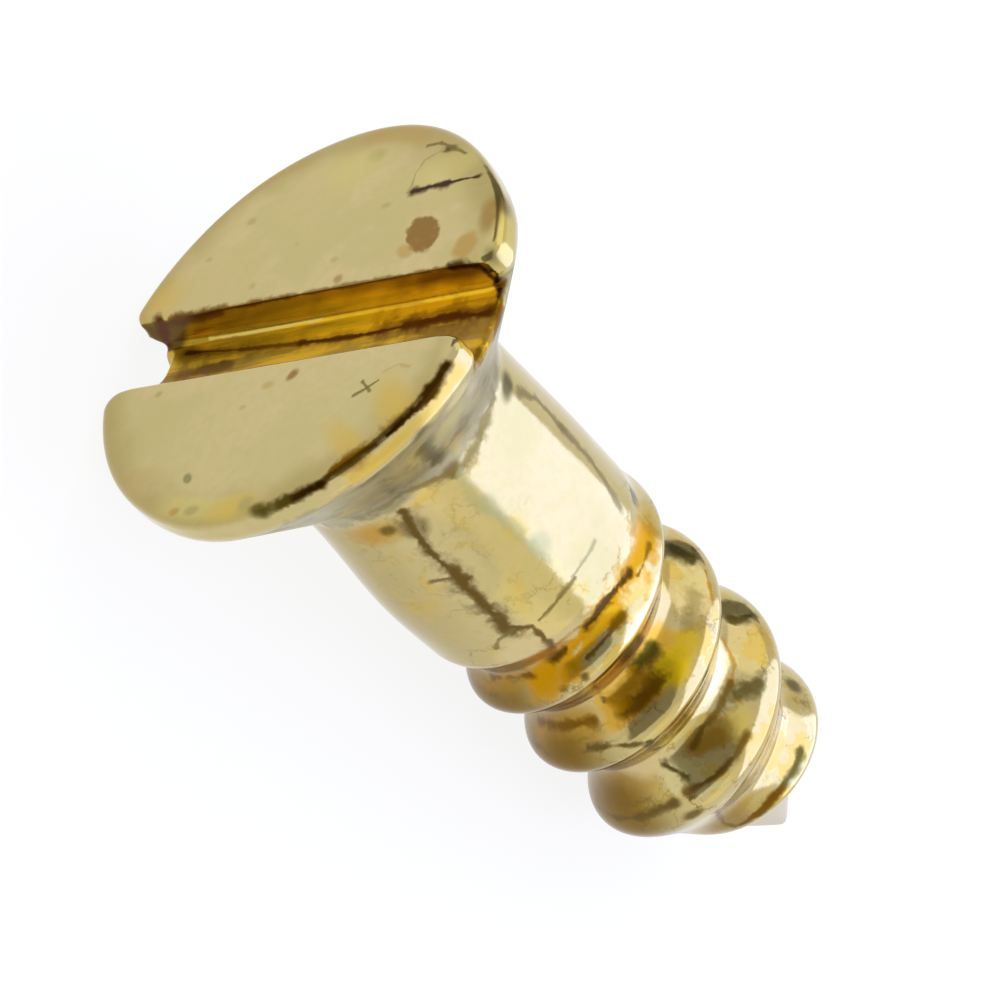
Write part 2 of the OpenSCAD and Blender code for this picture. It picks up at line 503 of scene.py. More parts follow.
def ringGroup():  # a line that runs part of the way round the screw
    group, given, results = newGroup("ring", ["Mask"], Radius=1.0, Height=0.0, Width=0.05, Middle=0.0,
                                     Half_Turn=1.0, Shake=(0, 0, 0), Ragged=0.05, Soft=0.4)
    alongX, acrossY, downZ = splitPlace(group, ragged(group, given))
    square = calc(group, "ADD", calc(group, "POWER", alongX, 2.0), calc(group, "POWER", acrossY, 2.0))
    rho = calc(group, "SQRT", square)
    out = calc(group, "POWER", calc(group, "SUBTRACT", rho, given["Radius"]), 2.0)
    up = calc(group, "POWER", calc(group, "SUBTRACT", downZ, given["Height"]), 2.0)
    distance = calc(group, "DIVIDE", calc(group, "SQRT", calc(group, "ADD", out, up)), given["Width"])
    feed(group, results["Mask"], times(group, softMask(group, given, distance), angleWindow(group, given)))
    return group


def grooveGroup():  # a stain in the thread's groove, heavier on the side that faces the head
    group, given, results = newGroup("grooveStain", ["Mask"], Depth=0.0, Side=0.0, From=4.0, To=5.0,
                                     Middle=0.0, Half_Turn=1.0, Shake=(0, 0, 0), Ragged=0.6, Soft=0.3)
    downZ = splitPlace(group, given["Place"])[2]
    start = between(group, downZ, given["From"], calc(group, "ADD", given["From"], 0.2))
    stop = between(group, downZ, calc(group, "SUBTRACT", given["To"], 0.2), given["To"], 1.0, 0.0)
    deep = times(group, between(group, given["Depth"], 0.08, 0.5), between(group, given["Side"], -0.7, 0.2))
    whole = times(group, start, stop, deep, angleWindow(group, given))
    shake = splitPlace(group, given["Shake"])[0]
    level = calc(group, "MULTIPLY_ADD", shake, given["Ragged"], whole)
    feed(group, results["Mask"], levelMask(group, level, 0.5, given["Soft"]))
    return group


def mottleGroup():  # soft uneven patches
    group, given, results = newGroup("mottle", ["Mask"], Grain=1.0, Level=0.5, Contrast=0.1,
                                     Stretch=(1, 1, 1))
    stretched = vectorCalc(group, "MULTIPLY", given["Place"], given["Stretch"])
    noise = noiseOf(group, stretched, given["Grain"], 3.0)
    feed(group, results["Mask"], levelMask(group, noise, given["Level"], given["Contrast"]))
    return group


def fleckGroup():  # small scattered specks
    group, given, results = newGroup("flecks", ["Mask"], Grain=2.0, Size=0.1, Share=0.3)
    cells = addNode(group, "ShaderNodeTexVoronoi", Vector=given["Place"], Scale=given["Grain"])
    inner = times(group, given["Size"], 0.4)
    spot = between(group, cells.outputs["Distance"], given["Size"], inner, 0.0, 1.0)
    tint = addNode(group, "ShaderNodeSeparateColor", Color=cells.outputs["Color"]).outputs[0]
    chosen = calc(group, "LESS_THAN", tint, given["Share"])
    feed(group, results["Mask"], times(group, spot, chosen))
    return group


def patchGroup():  # uneven patches, and the thin dark joints between them
    group, given, results = newGroup("patches", ["Mask", "Joint"], Grain=2.0, Width=0.04, Level=0.5,
                                     Stretch=(1, 1, 1), Shake=(0, 0, 0), Ragged=0.3)
    place = vectorCalc(group, "MULTIPLY", ragged(group, given), given["Stretch"])
    cells = addNode(group, "ShaderNodeTexVoronoi", Vector=place, Scale=given["Grain"])
    edges = addNode(group, "ShaderNodeTexVoronoi", {"feature": "DISTANCE_TO_EDGE"}, Vector=place,
                    Scale=given["Grain"])
    tint = addNode(group, "ShaderNodeSeparateColor", Color=cells.outputs["Color"]).outputs[0]
    feed(group, results["Mask"], levelMask(group, tint, given["Level"], 0.04))
    feed(group, results["Joint"], between(group, edges.outputs["Distance"], 0.0, given["Width"], 1.0, 0.0))
    return group


def rippleGroup():  # the uneven face of drawn and tumbled wire
    group, given, results = newGroup("ripples", ["Height"], Broad=0.8, Fine=5.0, Fine_Share=0.15)
    broad = noiseOf(group, given["Place"], given["Broad"], 2.0)
    fine = times(group, noiseOf(group, given["Place"], given["Fine"], 3.0), given["Fine Share"])
    feed(group, results["Height"], calc(group, "ADD", broad, fine))
    return group


effects = {
    "blotch": blotchGroup(),
    "streak": streakGroup(),
    "ring": ringGroup(),
    "groove": grooveGroup(),
    "mottle": mottleGroup(),
    "flecks": fleckGroup(),
    "patches": patchGroup(),
    "ripples": rippleGroup(),
}
print("effects made:", ", ".join(effects))

brassFinish = {
    "metal": tone(200, 183, 129),
    "roughness": 0.13,
    "dullRoughness": 0.26,
    "dullMetal": 1.0,  # how metallic a stain looks
    "coneRoughness": 0.36,
    "coneMetal": 0.75,
    "lacquerRoughness": 0.3,  # in the slot and the grooves
    "underRoughness": 0.2,  # under the thread's ridges
    "rustRoughness": 0.25,
    "tipRoughness": 0.45,
    "rippleHeight": 0.006,  # mm
    "fineRipples": 0.4,  # share
}

# Where coats fade in, or out, from one place to another, in mm on the screw's own axes
fades = {
    "upperHalf": (0.1, -0.6),  # Y
    "face": (0.1, 0.02),  # Z
    "faceEdge": (2.2, 2.7),  # away from the axis
    "faceEnd": (2.2, 2.42),  # X
    "under": (0.7, 2.0),  # Y less X
    "pastCone": (1.5, 2.0),  # Z
    "coneFrom": (0.32, 0.42),
    "coneTo": (1.82, 1.92),
    "reflectedLineEnd": (3.9, 4.4),
    "joints": (3.6, 4.6),
    "thread": (4.3, 4.8),
    "rust": (7.2, 6.0),
    "tip": (8.92, 9.02),
    "slotFloor": (0.4, 0.45),
    "slotOrange": (0.2, 1.6),  # X
    "slotOlive": (-0.3, -1.8),
    "floorEnd": (0.6, 1.6),
    "floorUpper": (-0.24, -0.12),  # Y
    "floorLower": (-0.1, 0.02),
    "upperWall": (-0.3, -0.34),
    "reflectedLineArea": (1.0, 1.35),  # Y and some of X
    "underThread": (0.5, 1.7),
    "slotEnd": (-1.6, -1.75),  # X and most of Z
}

# Colours of the tints and stains, and of the painted shade, highlights and reflections, by name
stains = {
    "upperHalf": tone(198, 179, 122),
    "greenish": tone(190, 177, 117),
    "pinkish": tone(204, 184, 132),
    "ovalBrown": tone(142, 107, 48),
    "edgeBrown": tone(158, 126, 64),
    "brown": tone(158, 118, 62),
    "tan": tone(180, 147, 78),
    "faintOlive": tone(172, 158, 96),
    "darkOlive": tone(84, 72, 20),
    "nearBlack": tone(62, 38, 2),
    "shadeReflectionAndDirtBrown": tone(102, 80, 36),
    "amber": tone(186, 134, 8),
    "brightAmber": tone(208, 158, 24),
    "darkAmber": tone(112, 76, 6),
    "yellow": tone(214, 178, 36),
    "redBrown": tone(84, 42, 2),
    "gold": tone(202, 172, 78),
    "paleYellow": tone(204, 190, 112),
    "lilac": tone(176, 164, 138),
    "greyOlive": tone(146, 136, 90),
    "greyTan": tone(156, 140, 100),
    "paleGreen": tone(176, 172, 108),
    "greyCream": tone(208, 188, 136),
    "tanGold": tone(214, 184, 104),
    "paleTip": tone(206, 196, 172),
    "cream": tone(206, 194, 136),
    "paleCream": tone(236, 222, 172),
    "greyGreen": tone(172, 168, 118),
    "brightYellow": tone(236, 200, 30),
    "paleGold": tone(214, 190, 96),
    "dimOlive": tone(120, 104, 52),
    "edgeOlive": tone(170, 152, 92),
    "threadTan": tone(196, 170, 104),
    "brownOlive": tone(120, 90, 28),
    "goldBrown": tone(168, 128, 40),
    "oliveAmber": tone(158, 130, 20),
    "floorAmber": tone(142, 104, 24),
    "endAmber": tone(96, 70, 1),
    "slotAmber": tone(222, 187, 22),
    "orangeAmber": tone(248, 196, 22),
}

# Oval stains, and ovals of painted shade, highlights and reflections: colour, centre, half size in mm, turn
# in degrees, softness, strength
blotches = [
    # on the face and the rim
    ("ovalBrown", (1.4, -0.9, 0), (0.29, 0.2, 0.2), -51, 0.12, 1.0),
    ("tan", (1.24, -0.7, 0), (0.12, 0.08, 0.15), -30, 0.4, 0.7),
    ("tan", (2.08, -0.62, 0), (0.15, 0.18, 0.15), 0, 0.3, 0.9),
    ("edgeBrown", (2.27, -1.0, 0), (0.13, 0.24, 0.2), 15, 0.5, 0.9),
    # a painted highlight on the right end of the rim
    ("paleGold", (2.48, -0.78, 0.12), (0.12, 0.3, 0.16), 12, 0.5, 0.5),
    ("darkOlive", (2.4, -1.22, 0.06), (0.08, 0.16, 0.1), 30, 0.6, 0.6),
    ("dimOlive", (2.5, -0.4, 0.05), (0.06, 0.13, 0.1), 30, 0.8, 0.6),
    ("paleYellow", (1.42, -1.8, 0), (0.42, 0.2, 0.1), 10, 0.5, 0.5),
    ("darkOlive", (1.33, -2.07, 0), (0.1, 0.05, 0.1), 0, 0.5, 0.9),
    ("faintOlive", (1.99, -1.47, 0), (0.06, 0.04, 0.1), 0, 0.5, 0.9),
    ("faintOlive", (0.7, -1.42, 0), (0.06, 0.04, 0.1), 0, 0.6, 0.7),
    ("faintOlive", (0.23, -0.77, 0), (0.05, 0.04, 0.1), 0, 0.6, 0.6),
    ("brown", (0.4, -0.48, 0), (0.06, 0.06, 0.1), 0, 0.5, 0.7),
    ("faintOlive", (-1.26, -1.57, 0), (0.06, 0.05, 0.1), 0, 0.6, 0.7),
    ("faintOlive", (-1.69, -1.12, 0), (0.04, 0.03, 0.1), 0, 0.6, 0.6),
    ("faintOlive", (-0.86, -0.61, 0), (0.04, 0.04, 0.1), 0, 0.6, 0.6),
    ("ovalBrown", (0.27, 0.77, 0), (0.08, 0.06, 0.1), 40, 0.5, 0.9),
    ("tan", (-0.04, 0.85, 0), (0.08, 0.05, 0.1), 0, 0.5, 0.5),
    ("faintOlive", (-1.64, 0.72, 0), (0.05, 0.04, 0.1), 0, 0.6, 0.8),
    ("faintOlive", (-0.29, 1.11, 0), (0.04, 0.03, 0.1), 0, 0.6, 0.6),
    ("greyOlive", (-0.7, 1.97, 0), (0.05, 0.08, 0.1), 40, 0.4, 1.0),
    ("tan", (-0.71, 2.4, 0), (0.07, 0.05, 0.1), 0, 0.5, 0.9),
    ("faintOlive", (-0.46, 2.42, 0), (0.1, 0.06, 0.1), 0, 0.5, 0.9),
    ("gold", (0.12, 2.45, 0), (0.3, 0.14, 0.1), 10, 0.6, 0.7),
    ("faintOlive", (0.3, 2.45, 0), (0.1, 0.1, 0.1), 0, 0.5, 0.9),
    ("tan", (-1.38, 1.85, 0), (0.25, 0.14, 0.1), 0, 0.8, 0.25),
    ("gold", (1.93, 1.45, 0), (0.45, 0.2, 0.1), -50, 0.7, 0.8),
    ("gold", (1.45, 1.85, 0), (0.45, 0.14, 0.1), -40, 0.7, 0.7),
    ("faintOlive", (0.28, -2.19, 0), (0.12, 0.08, 0.1), 0, 0.6, 0.8),
    ("paleYellow", (0.03, -2.05, 0), (0.35, 0.25, 0.1), 0, 0.8, 0.5),
    ("gold", (-2.15, -0.62, 0), (0.25, 0.25, 0.1), 0, 0.8, 0.6),
    ("darkOlive", (0.5, 2.53, 0.03), (0.12, 0.08, 0.1), 0, 0.5, 0.9),
    # on the cone and the neck
    ("paleGreen", (1.81, 0.98, 0.91), (0.3, 0.22, 0.45), 0, 0.6, 0.9),
    # a painted highlight and a painted pale reflection on the cone below the rim
    ("cream", (2.2, 0.95, 0.45), (0.25, 0.2, 0.15), 0, 0.6, 0.8),
    ("lilac", (2.14, 0.6, 0.75), (0.2, 0.14, 0.3), 0, 0.5, 0.9),
    # painted shade under the head
    ("darkOlive", (2.04, 1.53, 0.39), (0.14, 0.12, 0.09), 0, 0.6, 0.8),
    ("darkOlive", (1.71, 1.34, 0.8), (0.16, 0.12, 0.16), 0, 0.5, 0.9),
    ("shadeReflectionAndDirtBrown", (1.14, 0.83, 1.78), (0.13, 0.1, 0.1), 0, 0.5, 0.8),
    # a painted pale reflection at the neck
    ("lilac", (1.12, 0.95, 1.62), (0.2, 0.16, 0.14), 0, 0.6, 0.4),
    ("darkOlive", (1.38, -0.34, 1.93), (0.12, 0.2, 0.1), 0, 0.5, 0.9),
    ("amber", (0.2, 1.4, 2.0), (0.34, 0.15, 0.16), 0, 0.6, 0.7),
    ("darkOlive", (0.32, 1.37, 2.0), (0.1, 0.1, 0.08), 0, 0.5, 0.8),
    ("shadeReflectionAndDirtBrown", (0.58, 1.31, 2.1), (0.16, 0.12, 0.16), 0, 0.5, 0.9),
    # on the shank
    ("yellow", (1.21, 0.82, 2.92), (0.13, 0.12, 0.16), 0, 0.6, 0.45),
    ("greyGreen", (1.27, 0.78, 3.28), (0.14, 0.12, 0.14), 0, 0.5, 0.7),
    ("greyGreen", (1.18, 0.84, 2.45), (0.12, 0.1, 0.14), 0, 0.6, 0.6),
    # on the thread, from the head to the point
    # a painted dark reflection on top of a ridge
    ("darkOlive", (1.27, -0.66, 4.4), (0.16, 0.15, 0.1), 0, 0.5, 0.95),
    ("brightYellow", (1.2, 0.59, 5.92), (0.24, 0.26, 0.17), 0, 0.4, 1.0),
    ("yellow", (1.32, 0.31, 5.88), (0.14, 0.2, 0.14), 0, 0.5, 0.85),
    ("greyTan", (1.1, 0.44, 6.95), (0.14, 0.14, 0.1), 0, 0.6, 0.5),
    # painted shade low on the point
    ("brownOlive", (0.5, 1.0, 8.4), (0.4, 0.3, 0.3), 0, 0.8, 0.7),
    # a painted dark reflection on top of a ridge
    ("darkOlive", (0.95, -0.77, 8.22), (0.12, 0.12, 0.1), 0, 0.5, 0.85),
    ("greyCream", (0.5, 1.37, 4.32), (0.32, 0.2, 0.2), 0, 0.5, 0.9),
    ("greyCream", (0.52, 1.24, 5.38), (0.24, 0.24, 0.16), 0, 0.5, 0.9),
    ("greyCream", (0.28, 1.07, 7.0), (0.36, 0.25, 0.16), 0, 0.5, 0.8),
    ("tanGold", (0.63, 0.94, 5.59), (0.22, 0.25, 0.2), 0, 0.6, 0.7),
    ("tanGold", (0.99, 0.98, 6.44), (0.22, 0.22, 0.2), 0, 0.6, 0.6),
    ("paleGold", (1.24, 0.52, 7.18), (0.18, 0.22, 0.12), 0, 0.5, 0.8),
    # painted highlights on the thread
    ("paleCream", (1.3, 0.62, 5.08), (0.18, 0.3, 0.13), 0, 0.5, 0.8),
    ("paleCream", (1.44, 0.19, 5.04), (0.14, 0.2, 0.1), 0, 0.5, 0.8),
    ("paleCream", (1.11, 0.12, 6.66), (0.22, 0.32, 0.17), 0, 0.4, 0.85),
    ("brightAmber", (1.15, 0.77, 4.76), (0.08, 0.08, 0.05), 0, 0.6, 0.9),
    ("brightAmber", (0.94, 1.0, 4.8), (0.09, 0.09, 0.06), 0, 0.6, 0.9),
    ("shadeReflectionAndDirtBrown", (0.53, 1.36, 5.07), (0.07, 0.07, 0.05), 0, 0.6, 0.9),
    ("shadeReflectionAndDirtBrown", (0.58, 1.35, 7.66), (0.14, 0.1, 0.08), 0, 0.5, 0.9),
    ("shadeReflectionAndDirtBrown", (0.45, 1.36, 7.42), (0.09, 0.09, 0.06), 0, 0.5, 0.8),
    # painted shade on the underside of the thread
    ("brownOlive", (-0.37, 1.22, 7.36), (0.4, 0.2, 0.18), 0, 0.8, 0.8),
    ("brownOlive", (-0.33, 1.34, 6.2), (0.4, 0.2, 0.14), 0, 0.8, 0.8),
]

# Scratches, cracks and seams, and lines of painted shade, highlights and reflections: colour, half width in
# mm, unevenness, strength, the places they run through
streaks = [
    # on the face
    ("nearBlack", 0.045, 0.04, 1.0, [(1.02, -1.55, 0), (1.5, -1.58, 0)]),
    ("nearBlack", 0.03, 0.03, 1.0, [(1.4, -1.575, 0), (1.9, -1.58, 0)]),
    ("faintOlive", 0.02, 0.02, 1.0, [(0.98, -1.6, 0), (0.96, -1.81, 0), (1.03, -1.98, 0), (1.25, -2.08, 0)]),
    ("dimOlive", 0.022, 0.03, 0.9, [(0.99, -2.18, 0), (1.17, -2.18, 0), (1.59, -1.96, 0)]),
    ("dimOlive", 0.018, 0.03, 0.9, [(1.27, 1.2, 0), (1.55, 1.05, 0)]),
    ("dimOlive", 0.018, 0.03, 0.9, [(1.33, 1.03, 0), (1.48, 1.17, 0)]),
    ("tan", 0.02, 0.03, 0.5, [(1.57, 0.95, 0), (1.75, 0.87, 0), (1.92, 0.93, 0)]),
    # round the rim: a gold band that is a painted reflection, and a dark line that is partly dirt and partly
    # a painted dark reflection
    ("gold", 0.09, 0.08, 0.8, [(2.42, 0.95, 0.2), (2.19, 1.39, 0.2), (1.86, 1.81, 0.2), (1.5, 2.12, 0.2)]),
    ("darkAmber", 0.07, 0.08, 0.7,
     [(2.3, 1.2, 0.06), (2.04, 1.6, 0.04), (1.79, 1.87, 0.02), (1.39, 2.14, 0.01)]),
    ("nearBlack", 0.05, 0.05, 1.0,
     [(2.38, 0.95, 0.05), (2.26, 1.28, 0.09), (2.04, 1.6, 0.07), (1.9, 1.76, 0.06)]),
    ("nearBlack", 0.06, 0.09, 1.0, [(2.27, 1.24, 0.09), (2.13, 1.48, 0.08)]),
    ("darkAmber", 0.035, 0.05, 1.0, [(1.79, 1.86, 0.05), (1.39, 2.12, 0.01), (1.2, 2.28, 0.06)]),
    ("nearBlack", 0.055, 0.06, 1.0, [(1.2, 2.28, 0.06), (1.0, 2.38, 0.05), (0.76, 2.47, 0.05)]),
    ("darkOlive", 0.06, 0.08, 0.9, [(0.8, 2.46, 0.05), (0.51, 2.54, 0.04)]),
    ("greyTan", 0.06, 0.1, 0.8, [(1.4, 2.12, 0.34), (1.0, 2.35, 0.36), (0.6, 2.48, 0.36)]),
    # on the cone, the neck and the shank
    # dark lines on the cone and round the neck, painted shade under the head
    ("darkOlive", 0.09, 0.12, 0.8, [(1.72, 1.36, 0.78), (1.45, 1.15, 1.12), (1.2, 0.93, 1.5)]),
    ("dimOlive", 0.07, 0.16, 0.9,
     [(1.41, -0.04, 1.76), (1.4, 0.24, 1.75), (1.32, 0.49, 1.84), (1.15, 0.82, 1.86)]),
    ("dimOlive", 0.05, 0.14, 0.8,
     [(1.15, 0.82, 1.86), (0.94, 1.1, 1.68), (0.79, 1.26, 1.58), (0.4, 1.4, 1.6)]),
    # a painted dark reflection along the top of the shank
    ("dimOlive", 0.06, 0.1, 0.8, [(1.35, -0.42, 2.16), (1.3, -0.57, 2.46), (1.35, -0.51, 2.93)]),
    ("dimOlive", 0.05, 0.1, 0.8,
     [(1.35, -0.51, 2.93), (1.38, -0.47, 3.42), (1.42, -0.37, 3.8), (1.43, -0.26, 4.08)]),
    # a line painted along the edge of the light's reflection on the shank
    ("greyGreen", 0.06, 0.2, 0.6,
     [(1.15, 0.82, 1.89), (1.12, 0.88, 2.33), (1.19, 0.84, 2.71), (1.24, 0.82, 3.5)]),
    # the long dark line down the shank is a painted dark reflection
    ("greyTan", 0.13, 0.3, 0.7, [(0.63, 1.26, 2.0), (0.53, 1.34, 2.5), (0.6, 1.37, 3.3), (0.6, 1.37, 3.93)]),
    ("shadeReflectionAndDirtBrown", 0.06, 0.18, 1.0,
     [(0.6, 1.28, 1.85), (0.53, 1.34, 2.3), (0.55, 1.35, 2.72), (0.62, 1.35, 3.03)]),
    ("shadeReflectionAndDirtBrown", 0.085, 0.2, 1.0, [(0.58, 1.36, 2.85), (0.61, 1.38, 3.4), (0.6, 1.37, 3.93)]),
    ("shadeReflectionAndDirtBrown", 0.045, 0.1, 0.95,
     [(0.6, 1.37, 3.9), (0.78, 1.26, 4.06), (0.76, 1.23, 4.42), (0.62, 1.21, 4.75)]),
    ("shadeReflectionAndDirtBrown", 0.03, 0.1, 0.8, [(0.32, 1.44, 2.85), (0.53, 1.38, 2.91), (0.65, 1.32, 2.84)]),
    ("dimOlive", 0.028, 0.08, 0.8, [(0.62, 1.36, 3.95), (0.42, 1.42, 4.0), (0.3, 1.44, 4.12)]),
    ("greyOlive", 0.026, 0.04, 0.8, [(1.43, 0.34, 3.89), (1.39, 0.5, 3.9), (1.27, 0.77, 3.9)]),
    ("dimOlive", 0.032, 0.06, 0.9, [(1.27, 0.76, 3.94), (1.11, 0.98, 3.97), (0.87, 1.2, 4.04)]),
    # on the thread, from the head to the point
    ("gold", 0.16, 0.14, 0.9, [(1.35, -0.5, 4.62), (1.42, -0.27, 4.5)]),
    ("amber", 0.21, 0.16, 1.0,
     [(1.43, -0.25, 4.66), (1.43, 0.1, 4.62), (1.3, 0.51, 4.58), (1.11, 0.82, 4.62)]),
    ("amber", 0.17, 0.16, 1.0,
     [(1.11, 0.82, 4.62), (0.86, 1.07, 4.7), (0.56, 1.25, 4.8), (0.3, 1.37, 4.88)]),
    ("nearBlack", 0.08, 0.14, 0.95,
     [(1.38, 0.25, 4.62), (1.3, 0.56, 4.55), (1.17, 0.76, 4.56), (1.05, 0.89, 4.63)]),
    ("nearBlack", 0.06, 0.1, 0.9, [(0.76, 1.19, 4.7), (0.6, 1.22, 4.75)]),
    ("brightAmber", 0.09, 0.1, 1.0,
     [(1.22, 0.7, 4.74), (1.15, 0.77, 4.76), (0.94, 1.0, 4.8), (0.7, 1.2, 4.91)]),
    ("amber", 0.07, 0.1, 0.8, [(0.7, 1.2, 4.91), (0.6, 1.28, 4.96), (0.39, 1.35, 4.99)]),
    ("darkAmber", 0.05, 0.06, 0.9,
     [(1.27, 0.65, 4.83), (1.14, 0.85, 4.87), (1.04, 0.96, 4.88), (0.88, 1.1, 4.91)]),
    ("shadeReflectionAndDirtBrown", 0.035, 0.06, 0.9, [(0.8, 1.23, 5.06), (0.6, 1.09, 5.46), (0.46, 1.02, 5.82)]),
    ("darkAmber", 0.03, 0.05, 0.9, [(1.43, -0.2, 4.72), (1.42, 0.2, 4.72)]),
    ("darkAmber", 0.045, 0.06, 0.95, [(-0.42, 1.22, 4.9), (0.21, 1.33, 4.83)]),
    ("dimOlive", 0.03, 0.06, 0.9, [(0.46, 1.01, 5.78), (0.64, 1.05, 5.9)]),
    ("darkOlive", 0.085, 0.12, 1.0, [(1.03, 0.48, 5.69), (0.94, 0.6, 5.69), (0.85, 0.71, 5.7)]),
    ("darkAmber", 0.1, 0.14, 0.9, [(1.06, 0.75, 5.92), (0.85, 0.98, 5.94), (0.66, 1.1, 5.97)]),
    ("amber", 0.12, 0.14, 0.8, [(0.8, 0.8, 5.8), (0.6, 1.0, 5.85)]),
    ("dimOlive", 0.12, 0.1, 0.5, [(1.34, 0.05, 5.8), (1.32, -0.3, 5.8)]),
    # a painted dark reflection on top of a ridge
    ("darkOlive", 0.085, 0.1, 0.95, [(1.12, -0.79, 5.76), (1.0, -0.85, 5.67), (0.9, -0.92, 5.61)]),
    ("amber", 0.025, 0.03, 0.9, [(1.27, -0.69, 5.87), (1.4, -0.34, 5.97)]),
    ("darkAmber", 0.06, 0.05, 0.95, [(-0.68, 0.98, 6.09), (-0.2, 1.15, 6.02), (0.25, 1.19, 5.95)]),
    ("shadeReflectionAndDirtBrown", 0.04, 0.06, 0.95, [(0.1, 1.4, 6.15), (0.6, 1.34, 6.25), (0.78, 1.24, 6.38)]),
    ("darkOlive", 0.045, 0.1, 0.95,
     [(0.78, 1.24, 6.38), (0.62, 1.2, 6.75), (0.48, 1.06, 7.07), (0.67, 1.14, 7.23)]),
    ("amber", 0.03, 0.04, 0.8, [(1.06, -0.35, 6.72), (1.2, -0.11, 6.88), (1.2, 0.16, 6.92)]),
    # a painted dark reflection on top of a ridge
    ("darkOlive", 0.085, 0.1, 0.95, [(1.02, -0.7, 6.8), (1.1, -0.88, 6.97)]),
    ("darkOlive", 0.11, 0.12, 0.85, [(1.26, 0.22, 7.0), (1.42, -0.01, 7.12)]),
    ("goldBrown", 0.11, 0.12, 0.9, [(0.85, 0.87, 7.07), (1.08, 0.68, 7.08)]),
    ("brownOlive", 0.035, 0.04, 0.9,
     [(1.18, 0.11, 6.92), (1.08, 0.45, 6.97), (0.94, 0.66, 6.97), (0.81, 0.85, 7.06)]),
    ("brownOlive", 0.045, 0.05, 0.95,
     [(1.3, 0.6, 7.31), (1.18, 0.82, 7.36), (0.95, 1.06, 7.39), (0.64, 1.23, 7.38)]),
    ("brownOlive", 0.04, 0.06, 0.9, [(0.65, 1.13, 7.93), (0.39, 0.97, 8.39), (0.42, 0.91, 8.56)]),
    ("tan", 0.03, 0.05, 0.8, [(1.05, 0.99, 7.71), (0.65, 1.21, 7.93)]),
    ("shadeReflectionAndDirtBrown", 0.04, 0.07, 0.8, [(-0.5, 1.35, 7.6), (-0.1, 1.45, 7.5), (0.45, 1.36, 7.42)]),
    ("darkOlive", 0.06, 0.08, 0.95,
     [(1.15, 0.05, 8.44), (1.09, 0.27, 8.48), (0.94, 0.54, 8.49), (0.71, 0.76, 8.55)]),
    ("darkAmber", 0.05, 0.08, 0.95, [(1.0, 0.51, 8.5), (0.72, 0.79, 8.55), (0.5, 0.92, 8.58)]),
    # in the slot: along its upper lip, round its ends, in its corner and along its floor
    ("darkAmber", 0.035, 0.04, 0.9, [(-2.0, -0.385, 0.04), (-0.3, -0.385, 0.03)]),
    ("darkAmber", 0.024, 0.03, 0.8, [(-0.3, -0.385, 0.03), (2.1, -0.385, 0.03)]),
    ("nearBlack", 0.045, 0.04, 0.95,
     [(1.95, -0.39, 0.03), (2.3, -0.38, 0.09), (2.32, -0.39, 0.23), (2.3, -0.41, 0.45)]),
    ("darkAmber", 0.045, 0.05, 0.95,
     [(2.3, -0.41, 0.45), (2.36, -0.2, 0.51), (2.37, 0.02, 0.54), (2.33, 0.21, 0.6)]),
    ("redBrown", 0.06, 0.03, 1.0, [(-2.12, -0.385, 0.04), (-2.32, -0.385, 0.4)]),
    ("redBrown", 0.05, 0.03, 0.8, [(-2.12, -0.385, 0.1), (-1.3, -0.385, 0.09)]),
    # a painted highlight along the rounded corner between the upper wall and the floor
    ("paleGold", 0.028, 0.03, 0.9, [(-1.7, -0.37, 0.44), (-0.1, -0.37, 0.44)]),
    ("brightAmber", 0.024, 0.03, 0.6, [(-0.1, -0.37, 0.44), (1.3, -0.37, 0.44)]),
    ("redBrown", 0.1, 0.04, 0.4,
     [(-2.0, -0.22, 0.46), (-1.18, -0.15, 0.46), (0.48, -0.06, 0.46), (1.2, -0.09, 0.46)]),
    ("redBrown", 0.18, 0.05, 0.5, [(0.9, -0.08, 0.46), (1.74, -0.12, 0.46), (2.26, -0.06, 0.46)]),
    ("redBrown", 0.024, 0.03, 0.8, [(-2.0, -0.24, 0.46), (-1.18, -0.15, 0.46), (-0.31, -0.09, 0.46)]),
    ("redBrown", 0.035, 0.03, 1.0, [(-0.31, -0.09, 0.46), (0.48, -0.05, 0.46), (1.11, -0.07, 0.46)]),
    ("redBrown", 0.065, 0.04, 1.0, [(1.11, -0.07, 0.46), (1.74, -0.1, 0.46), (2.26, -0.04, 0.46)]),
    ("redBrown", 0.08, 0.06, 0.65, [(-1.95, 0.05, 0.46), (-1.3, 0.04, 0.46)]),
    ("darkAmber", 0.06, 0.06, 0.8, [(2.28, 0.42, 0.5), (2.31, 0.52, 0.55)]),
]

# Lines that run part of the way round:
# colour, radius, height, half width, middle and half turn, unevenness, strength
rings = [
    ("paleYellow", 2.44, 0, 0.13, 98, 18, 0.1, 0.6),
    ("tan", 2.5, 0, 0.1, -119, 14, 0.1, 0.5),
    ("tan", 2.5, 0.03, 0.13, -78, 15, 0.1, 0.5),
]

# Stains in the groove: colour, from and to along the screw, middle and half turn, unevenness, strength
grooveStains = [
    ("goldBrown", 4.2, 7.4, 105, 40, 1.1, 0.3),
    ("brightAmber", 5.4, 6.3, 40, 40, 0.9, 0.8),
]


def onMetal(points):  # the nearest places on the screw's surface
    return [tuple(point) for point in settle(np.array(points, dtype=float), screwShape, 8)]


def startMaterial(name):
    material = bpy.data.materials.new(name)
    material.use_nodes = True
    material.node_tree.nodes.clear()
    return material, material.node_tree
